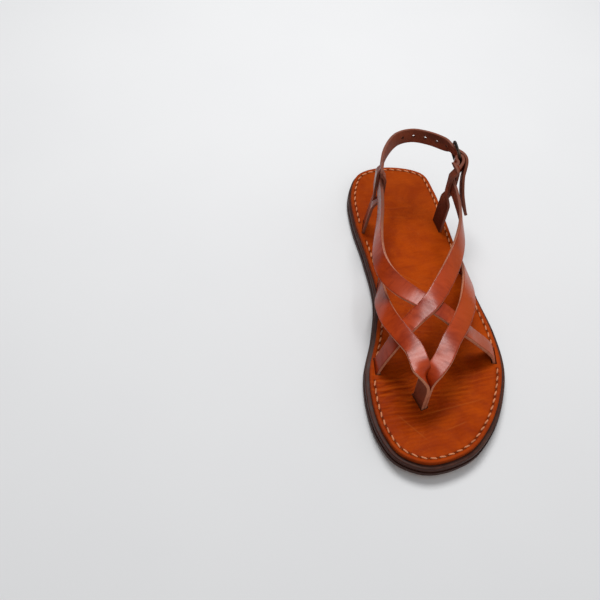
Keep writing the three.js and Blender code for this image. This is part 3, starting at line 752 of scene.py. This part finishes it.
buckle_way = unit(np.array(buckle_way))
buckle_face = np.array([1, 0, 0.1])
buckle_face = unit(buckle_face - buckle_way * (buckle_face @ buckle_way))
buckle_rise = np.cross(buckle_way, buckle_face)


def at_buckle(forward, outward, upward=0.0):
    """Points counted from the buckle's middle along its way, its face and its rise."""
    steps = np.stack(np.broadcast_arrays(forward, outward, upward), axis=-1)
    return spots([buckle_middle])[0] + steps @ np.array([buckle_way, buckle_face, buckle_rise])


def buckle_station(forward, outward, face, width):
    """A station of a strap counted from the buckle's middle."""
    return [*at_buckle(forward, outward), *face, width]


def fold_station(degrees):
    """Round the front bar: 0 is on its outer side, 90 behind it and 180 on its inner side."""
    outward, behind = np.cos(radians(degrees)), np.sin(radians(degrees))
    face = buckle_face * outward - buckle_way * behind
    return buckle_station(bar - wrap * behind, wrap * outward, face, strap_width)


outer_leg = stations(outer_leg_rows, strap_width)
inner_leg = stations(inner_leg_rows, strap_width)
# The buckle strap goes round the front bar and is sewn down on its own inner side
buckle_strap = stations(buckle_strap_rows, strap_width)
fold_out = buckle_station(bar + 0.003, wrap - 0.0004, buckle_face, strap_width)
fold_in = buckle_station(bar + 0.003, 0.0004 - wrap, -buckle_face, strap_width)
sewn_down = np.array(fold_out) * 0.4 + buckle_strap[-1] * 0.6
sewn_down[:3] += buckle_face * (0.00010 - strap_thickness)
sewn_down[3:6] = -buckle_face
folded = [fold_station(degrees) for degrees in (0, 30, 60, 90, 120, 150, 180)]
buckle_strap = np.vstack([buckle_strap, fold_out, folded, fold_in, sewn_down])
# The heel strap goes under the rear bar, up through the frame, over the fold and hangs down
narrowed = np.full(len(heel_strap_rows), strap_width)
narrowed[-ankle_row_count:] = ankle_width
over_fold = wrap + strap_thickness + seam_gap + 0.0003
heel_strap = np.vstack([
    stations(heel_strap_rows, narrowed),
    buckle_station(-bar, -wrap - 0.0005, buckle_face, ankle_width),
    buckle_station(0, 0.00115, buckle_face, ankle_width),
    buckle_station(bar, over_fold, buckle_face, ankle_width),
    stations(tail_rows, tail_width * np.array(tail_rows)[:, 5]),
])

# Round the section, as shares across and through the strap, then the turn of its corner's arc
section = (
    [(1, -1, turn) for turn in (-90, -60, -30, 0)] + [(1, 1, turn) for turn in (0, 30, 60, 90)]
    + [(share, 1, 90) for share in (0.86, 0.66, 0.44, 0.22, 0, -0.22, -0.44, -0.66, -0.86)]
    + [(-1, 1, turn) for turn in (90, 120, 150, 180)] + [(-1, -1, turn) for turn in (180, 210, 240, 270)]
    + [(share, -1, 270) for share in (-0.5, 0, 0.5)]
)
section_middle = 12  # the point on the middle of the grain side
section_side = np.array([1] * 5 + [0] * 14 + [1] * 5 + [2] * 4)  # 0 grain, 1 cut edge, 2 flesh


def ribbon(name, at_stations, steps=10, grow=0.0, lowest=insole_bottom):
    """A strap: a flat section with round corners and a crowned grain side, carried along a line.

    The section stands square to the line and faces as its stations do. The strap's own map runs
    along it and round it from the middle of the grain side, in metres. It starts on the midsole.
    """
    line, way = flowing_line(at_stations, steps)
    keep = line[:, 2] > lowest + spring_at(line[:, 1])
    line, way = line[keep], unit(way[keep, :3])
    face = unit(line[:, 3:6] - way * (line[:, 3:6] * way).sum(axis=1, keepdims=True))
    across = np.cross(face, way)
    flat, through, turn = np.array(section, float).T
    turn = np.radians(turn)
    half = line[:, 6:7] / 2 + grow
    aside = flat * (half - strap_corner) + strap_corner * np.cos(turn)
    out = through * (strap_thickness / 2 + grow - strap_corner) + strap_corner * np.sin(turn)
    out = np.where(through > 0, out + (0 if grow else strap_crown) * (1 - flat**2), out)
    grid = line[:, None, :3] + aside[..., None] * across[:, None] + out[None, :, None] * face[:, None]
    grid[..., 2] = np.maximum(grid[..., 2], lowest + spring_at(grid[..., 1]))
    mesh = skin(name, grid, ends=True)
    gone = gone_along(line[:, :3])
    edge = np.column_stack([flat * (strap_width / 2 - strap_corner) + strap_corner * np.cos(turn), out])
    girth = gone_along(np.vstack([edge, edge[:1]]))
    girth -= girth[section_middle]
    rows, columns = grid.shape[:2]
    chart = np.zeros((rows - 1, columns, 4, 2))
    chart[..., 0] = np.stack([gone[:-1], gone[:-1], gone[1:], gone[1:]], axis=-1)[:, None]
    chart[..., 1] = np.stack([girth[:-1], girth[1:], girth[1:], girth[:-1]], axis=-1)[None]
    caps = np.concatenate([aside[0], aside[-1]])
    chart = np.concatenate([chart.reshape(-1, 2), np.column_stack([caps, caps])])
    mesh.uv_layers.new(name="hide").data.foreach_set("uv", chart.ravel())
    sides = np.concatenate([np.tile(section_side, rows - 1), [1, 1]])
    mesh.polygons.foreach_set("material_index", sides.astype(np.int32))
    return mesh


def cut_away(piece, cutters):
    """Takes the cutters' meshes out of a piece, and keeps what is left as its mesh.

    The cut's slivers are merged and faces of more than four corners split, so that it stays closed.
    """
    helpers = []
    for cutter in cutters:
        cutter.polygons.foreach_set("material_index", np.ones(len(cutter.polygons), np.int32))
        helpers.append(in_scene("cutter", cutter))
        modifier = piece.modifiers.new("cut", "BOOLEAN")
        modifier.operation, modifier.solver, modifier.object = "DIFFERENCE", "MANIFOLD", helpers[-1]
    graph = bpy.context.evaluated_depsgraph_get()
    cut = bpy.data.meshes.new_from_object(
        piece.evaluated_get(graph), preserve_all_data_layers=True, depsgraph=graph)
    shape = bmesh.new()
    shape.from_mesh(cut)
    bmesh.ops.remove_doubles(shape, verts=shape.verts, dist=sliver)
    bmesh.ops.triangulate(shape, faces=[face for face in shape.faces if len(face.verts) > 4])
    bmesh.ops.dissolve_degenerate(shape, edges=shape.edges, dist=sliver)
    shape.to_mesh(cut)
    shape.free()
    piece.modifiers.clear()
    piece.data = cut
    for helper in helpers:
        bpy.data.objects.remove(helper)
    cut.set_sharp_from_angle(angle=radians(42))


strap_grain, tree, shader = new_finish("strap_grain")
spot = node(tree, "TexCoord")["UV"]
girth = reckon(tree, "ABSOLUTE", node(tree, "SeparateXYZ", {0: spot})["Y"])
grain = use(tree, hide_grain, {"Vector": spot, "Pores": 1500.0})
drawn = node(tree, "Mapping", {"Vector": spot, "Scale": (6.0, 1.0, 1.0)})[0]
crossing = noise(tree, drawn, 80.0, 3.0, Distortion=0.3)
marks = use(tree, scuffs, {"Vector": spot})["Mask"]
place = node(tree, "SeparateXYZ", {0: node(tree, "TexCoord")["Object"]})
# Clouds and cross marks, more orange on the outer side, browner at the ankle, with rims that are
# darkened and then rubbed
red = tinted(
    tree, (0.24, 0.020, 0.003, 1),
    (grain["Cloud"], 0.30, 0.70, 0.0, 1.0, (0.44, 0.048, 0.005, 1)),
    (crossing, 0.5, 0.75, 0.0, 0.4, (0.15, 0.014, 0.004, 1)),
    (place["X"], 0.006, 0.034, 0.0, 0.65, (0.40, 0.062, 0.004, 1)),
    (place["Y"], -0.085, -0.015, 0.0, 0.75, (0.105, 0.018, 0.008, 1)),
    (girth, 0.0044, 0.0057, 0.0, 0.35, (0.12, 0.014, 0.005, 1)),
    (girth, 0.0054, 0.0059, 0.0, 0.55, (0.42, 0.11, 0.05, 1)),
)
shine = ranged(tree, crossing, 0.35, 0.7, 0.54, 0.36)
raised = reckon(tree, "ADD", grain["Height"], reckon(tree, "MULTIPLY", crossing, 0.7))
connect(tree, shader, {
    "Base Color": between(tree, reckon(tree, "MULTIPLY", marks, 0.3), red, (0.5, 0.13, 0.05, 1)),
    "Roughness": ranged(tree, grain["Cloud"], 0.3, 0.7, 0.28, 0.42),
    "Specular IOR Level": 0.05,
    "Coat Weight": reckon(tree, "MULTIPLY", shine, ranged(tree, place["Z"], 0.018, 0.036, 0.30, 1.0)),
    "Coat Roughness": 0.22,
    "Normal": bumped(tree, raised, 0.00005),
})

strap_cut, tree, shader = new_finish("strap_cut_edge")
spot = node(tree, "TexCoord")["Object"]
fibre = noise(tree, spot, 1100.0, 4.0)
pale = between(tree, fibre, (0.38, 0.12, 0.055, 1), (0.70, 0.29, 0.17, 1))
rear = ranged(tree, node(tree, "SeparateXYZ", {0: spot})["Y"], -0.112, -0.048)
pale = between(tree, reckon(tree, "MULTIPLY", rear, 0.85), pale, (0.115, 0.028, 0.016, 1))
dyed = noise(tree, spot, 120.0, 3.0)
connect(tree, shader, {
    "Base Color": tinted(tree, pale, (dyed, 0.45, 0.70, 0.0, 0.5, (0.24, 0.05, 0.02, 1))),
    "Roughness": 0.62,
    "Specular IOR Level": 0.2,
    "Normal": bumped(tree, fibre, 0.00008),
})

strap_flesh, tree, shader = new_finish("strap_flesh_side")
spot = node(tree, "TexCoord")["Object"]
nap = noise(tree, spot, 1300.0, 5.0, Roughness=0.7)
cloud = noise(tree, spot, 90.0, 5.0)
place = node(tree, "SeparateXYZ", {0: spot})
dull = tinted(
    tree, (0.11, 0.020, 0.007, 1),
    (cloud, 0.35, 0.68, 0.0, 1.0, (0.24, 0.046, 0.016, 1)),
    (place["X"], -0.020, 0.026, 0.55, 0.0, (0.33, 0.085, 0.040, 1)),
)
# Painted shade: the flesh side darkens low down towards the heel, over the lower parts of the ankle tabs.
at_heel, shade_low_down = ranged(tree, place["Y"], -0.08, -0.04), ranged(tree, place["Z"], 0.022, 0.050, 0.6, 0.0)
dull = between(tree, reckon(tree, "MULTIPLY", at_heel, shade_low_down), dull, (0.045, 0.009, 0.004, 1))
connect(tree, shader, {
    "Base Color": tinted(tree, dull, (nap, 0.45, 0.75, 0.0, 0.35, (0.30, 0.09, 0.035, 1))),
    "Roughness": ranged(tree, cloud, 0.3, 0.7, 0.58, 0.75),
    "Specular IOR Level": 0.2,
    "Normal": bumped(tree, nap, 0.00010),
})


def tube(name, line, normal, radius, sides=16, closed=False, grow=0.0):
    """A wire: a circle carried along a line that lies square to normal."""
    before, after = np.roll(line, 1, axis=0), np.roll(line, -1, axis=0)
    if not closed:
        before[0], after[-1] = line[0], line[-1]
    side = np.cross(normal, unit(after - before))
    turn = np.linspace(0, 2 * pi, sides, endpoint=False)[:, None]
    round_it = side[:, None] * np.cos(turn) + normal * np.sin(turn)
    grid = line[:, None] + (radius + grow) * round_it
    if closed:
        return skin(name, np.concatenate([grid, grid[:1]]), merge=True)
    return skin(name, grid, ends=True)


def prong_line(grow=0.0):
    """The prong: nearly a whole turn round the front bar, then straight to past the rear bar."""
    lift = buckle_wire / 2 + seam_gap + prong_diameter / 2
    turn = np.radians(np.linspace(-165 - np.degrees(grow / lift), 90, 28))
    eye = at_buckle(bar + lift * np.cos(turn), lift * np.sin(turn))
    return np.vstack([eye, at_buckle(np.array([0, -bar - buckle_wire - grow]), lift)])


def strap_piece(name, mesh, replaced="upper"):
    """A piece of strap leather, with its grain, its cut edges and its flesh side."""
    return placed(name, mesh, [strap_grain, strap_cut, strap_flesh], "strap_leather", replaced)


for name, at_stations in (("outer_leg", outer_leg), ("inner_leg", inner_leg)):
    strap_piece(name, ribbon(name, at_stations)).data.set_sharp_from_angle(angle=radians(60))
prong_room = tube("prong_room", prong_line(seam_gap), buckle_rise, prong_diameter / 2, grow=seam_gap)
cut_away(strap_piece("buckle_strap", ribbon("buckle_strap", buckle_strap)), [prong_room])

# Five punched holes in the heel strap, counted back from the buckle
hole_diameter = 0.0022
hole_pitch = 0.0086
hole_count = 5
heel_line, heel_way = (values[:, :3] for values in flowing_line(heel_strap, 40))
gone = gone_along(heel_line)
at_prong = gone[np.argmin(np.linalg.norm(heel_line - at_buckle(0, 0), axis=1))]
holes = [prong_room]
for number in range(1, hole_count + 1):
    reached = np.searchsorted(gone, at_prong - number * hole_pitch)
    along = unit(heel_way[reached])
    through = unit(np.cross(along, [0, 0, 1])) * np.array([[-1.5], [1.5]]) * strap_thickness
    holes.append(tube("hole", heel_line[reached] + through, along, hole_diameter / 2, sides=20))
cut_away(strap_piece("heel_strap", ribbon("heel_strap", heel_strap)), holes)


# Ankle tabs. Two short straps that rise from slits beside the heel, each with a slit of its own
# near the top that a long strap passes through, so that it can slide. The dull side is inside.
tab_width = 0.0135
tab_thickness = 0.0018
tab_edge_round = 0.0003
tab_play = 0.0001
tab_crossing_up = 1.2
tab_follow = 0.4  # how much of the strap's bend a half of the tab takes up across its width
# Share of the instep height, how far the slit's lips stand apart, and the width as a share
tab_rows = [
    (-0.20, 0, 1.00), (0.20, 0, 1.00), (0.66, 0, 0.97), (1.00, 1, 0.94), (1.19, 1, 0.94),
    (1.38, 1, 0.92), (1.56, 0, 0.78), (1.58, 0, 0.62), (1.595, 0, 0.40),
]
# Name, side, share of the length, share of the ball width at the insole, turn, the strap in it
tab_places = [
    ("ankle_tab_outer", 1, 0.250, 0.315, 11, buckle_strap[:15]),
    ("ankle_tab_inner", -1, 0.252, -0.272, 169, heel_strap),
]
tab_columns = 10  # on each side of the slit


def tab_sheet(name, side, along, base, turn, strap, lowest=insole_bottom):
    """A tab's middle sheet: rows up it, and columns across it that part at the slit.

    Inside the slit the half towards the toe passes the strap on its inner side and the other
    half on its outer side, so each half follows the strap at the room that the strap needs.
    """
    clear = strap_thickness / 2 + seam_gap + tab_thickness / 2 + tab_play
    rows = np.arange(len(tab_rows))
    fine = np.linspace(0, rows[-1], 8 * len(rows))
    up, spread, taper = (np.interp(fine, rows, values) for values in np.array(tab_rows).T)
    spread = spread**2 * (3 - 2 * spread)
    keep = insole_top + up * instep_height > lowest
    up, spread, taper = up[keep], spread[keep], taper[keep]
    line, _ = flowing_line(strap, 20)
    near = line[(line[:, 2] > insole_top + instep_height) & (line[:, 0] * side > 0)]
    near = near[np.argsort(near[:, 1])]

    def strap_x(y):
        """The strap's X at y."""
        return np.interp(y, near[:, 1], near[:, 0])

    middle_y = along_y(along)
    back = side * np.array([-np.sin(radians(turn)), np.cos(radians(turn))])
    risen = np.clip(up / tab_crossing_up, 0, 1)
    lean = base * ball_width + (strap_x(middle_y) - base * ball_width) * risen
    halves = []
    for end in (-1, 1):
        share = end * np.linspace(1, 0, tab_columns)[:: -end]
        out = share * taper[:, None] * tab_width / 2
        x, y = lean[:, None] + back[0] * out, middle_y + back[1] * out
        lip = strap_x(middle_y + back[1] * end * taper * tab_width / 4)[:, None]
        x = x + (lip + tab_follow * (strap_x(y) - lip) + side * end * clear - x) * spread[:, None]
        z = np.broadcast_to((insole_top + up * instep_height)[:, None], x.shape)
        halves.append(np.stack([x, y, z], axis=-1))
    grid = np.concatenate(halves, axis=1)
    # Where the lips lie together, both halves share one column of points
    index = np.arange(grid[..., 0].size).reshape(grid.shape[:2]).T
    together = spread <= 1e-6
    index[tab_columns, together] = index[tab_columns - 1, together]
    quads = np.concatenate([
        np.stack([half[:-1, :-1], half[1:, :-1], half[1:, 1:], half[:-1, 1:]], axis=-1).reshape(-1, 4)
        for half in (index[:tab_columns], index[tab_columns:])
    ])
    mesh = bpy.data.meshes.new(name)
    mesh.from_pydata(grid.reshape(-1, 3).tolist(), [], quads.tolist())
    girth = np.linspace(-1, 1, 2 * tab_columns) * taper[:, None] * tab_width / 2
    chart = np.stack([np.broadcast_to(up[:, None] * instep_height, girth.shape), girth], axis=-1)
    mesh.uv_layers.new(name="hide").data.foreach_set("uv", chart.reshape(-1, 2)[quads.ravel()].ravel())
    shape = bmesh.new()
    shape.from_mesh(mesh)
    bmesh.ops.delete(shape, geom=[point for point in shape.verts if not point.link_faces], context="VERTS")
    if side < 0:
        bmesh.ops.reverse_faces(shape, faces=shape.faces)
    shape.to_mesh(mesh)
    shape.free()
    mesh.shade_smooth()
    return mesh


def walled(piece, thickness):
    """Gives a sheet its thickness, half of it to each side."""
    wall = piece.modifiers.new("wall", "SOLIDIFY")
    wall.thickness, wall.offset = thickness, 0.0
    return wall


for name, *facts in tab_places:
    tab = strap_piece(name + "_leather", tab_sheet(name, *facts), name)
    wall = walled(tab, tab_thickness)
    wall.material_offset, wall.material_offset_rim = 2, 1
    soft = tab.modifiers.new("soft_edge", "BEVEL")
    soft.width, soft.segments, soft.limit_method, soft.angle_limit = tab_edge_round, 2, "ANGLE", radians(50)
    soft.harden_normals = False

# The slits in the insole, a little wider than the straps that go down through them
slit_room = 0.0007
slit_reach = insole_bottom - 0.002
slits = [
    ribbon("slit", strap, grow=slit_room, lowest=slit_reach)
    for strap in (outer_leg, inner_leg, buckle_strap[:4], heel_strap[:4])
]
for name, *facts in tab_places:
    tab_room = in_scene("slit", tab_sheet("slit", *facts, lowest=slit_reach))
    walled(tab_room, tab_thickness + 2 * seam_gap)
    graph = bpy.context.evaluated_depsgraph_get()
    slits.append(bpy.data.meshes.new_from_object(tab_room.evaluated_get(graph)))
    bpy.data.objects.remove(tab_room)


# Buckle. A small frame of cast and blackened brass wire with round corners, and a prong bent
# round its front bar. It has rubbed a little brighter in patches.
buckle_inner_width = 0.0126
buckle_corner = 0.0024

antique, tree, shader = new_finish("antique_brass")
spot = node(tree, "TexCoord")["Object"]
tarnish = noise(tree, spot, 260.0, 3.0)
connect(tree, shader, {
    "Base Color": tinted(
        tree, (0.014, 0.010, 0.008, 1), (tarnish, 0.42, 0.7, 0.0, 1.0, (0.10, 0.068, 0.045, 1))),
    "Metallic": 0.85,
    "Roughness": ranged(tree, tarnish, 0.35, 0.7, 0.48, 0.30),
    "Normal": bumped(tree, noise(tree, spot, 700.0, 4.0), 0.00006),
})
high = (buckle_inner_width + buckle_wire) / 2
turn = np.radians(np.arange(0, 91, 11.25))
corners = []
for number, (forward, upward) in enumerate([(1, 1), (-1, 1), (-1, -1), (1, -1)]):
    round_it = turn + number * pi / 2
    corners.append(at_buckle(
        forward * (bar - buckle_corner) + buckle_corner * np.cos(round_it), 0,
        upward * (high - buckle_corner) + buckle_corner * np.sin(round_it),
    ))
frame_mesh = tube("buckle_frame", np.vstack(corners), -buckle_face, buckle_wire / 2, closed=True)
placed("buckle_frame_cast", frame_mesh, [antique], "antique_metal", "buckle_frame")
prong_mesh = tube("buckle_prong", prong_line(), buckle_rise, prong_diameter / 2)
placed("buckle_prong_bent", prong_mesh, [antique], "antique_metal", "buckle_prong")


# Slits. Narrow cuts through the insole, made with a knife before it is sewn down. They come
# last here, when the ways of the straps and tabs are known, and show the pale cut leather.
insole.data.materials.append(strap_cut)
cut_away(insole, slits)


# Floor and light. A plain pale floor, an even pale room and one broad soft light from above
# and behind, which gives the straps their highlights.
floor_half = 12
floor_mesh = bpy.data.meshes.new("floor")
floor_mesh.from_pydata(
    [(x * floor_half, y * floor_half, 0) for x, y in ((-1, -1), (1, -1), (1, 1), (-1, 1))],
    [], [(0, 1, 2, 3)],
)
floor = in_scene("floor", floor_mesh)
floor.location.z = -0.0001  # clear of the sole, so that the two don't flicker
pale_floor, tree, shader = new_finish("pale_floor")
cloud = noise(tree, node(tree, "TexCoord")["Object"], 9.0, 3.0)
connect(tree, shader, {
    "Base Color": between(tree, cloud, (0.765, 0.77, 0.78, 1), (0.80, 0.805, 0.81, 1)),
    "Roughness": 0.8,
})
floor_mesh.materials.append(pale_floor)

# The room is brighter overhead and ahead on the outer side, where the window is
world = bpy.data.worlds.new("room")
bpy.context.scene.world = world
world.use_nodes = True
tree = world.node_tree
toward = node(tree, "TexCoord")["Generated"]
ahead = node(tree, "VectorMath", {0: toward, 1: (0.40, -0.50, 0.77)}, operation="DOT_PRODUCT")["Value"]
connect(tree, tree.nodes["Background"], {
    "Color": (0.99, 0.99, 1.0, 1),
    "Strength": ranged(tree, ahead, -0.35, 0.95, 0.04, 0.57),
})
softbox = bpy.data.lights.new("softbox", "AREA")
softbox.shape, softbox.size, softbox.size_y, softbox.energy = "RECTANGLE", 0.54, 0.36, 7.4
lamp = in_scene("softbox", softbox)
lamp.location = (-0.02, 0.33, 0.93)
lamp.rotation_euler = (radians(-28), radians(-1), 0)
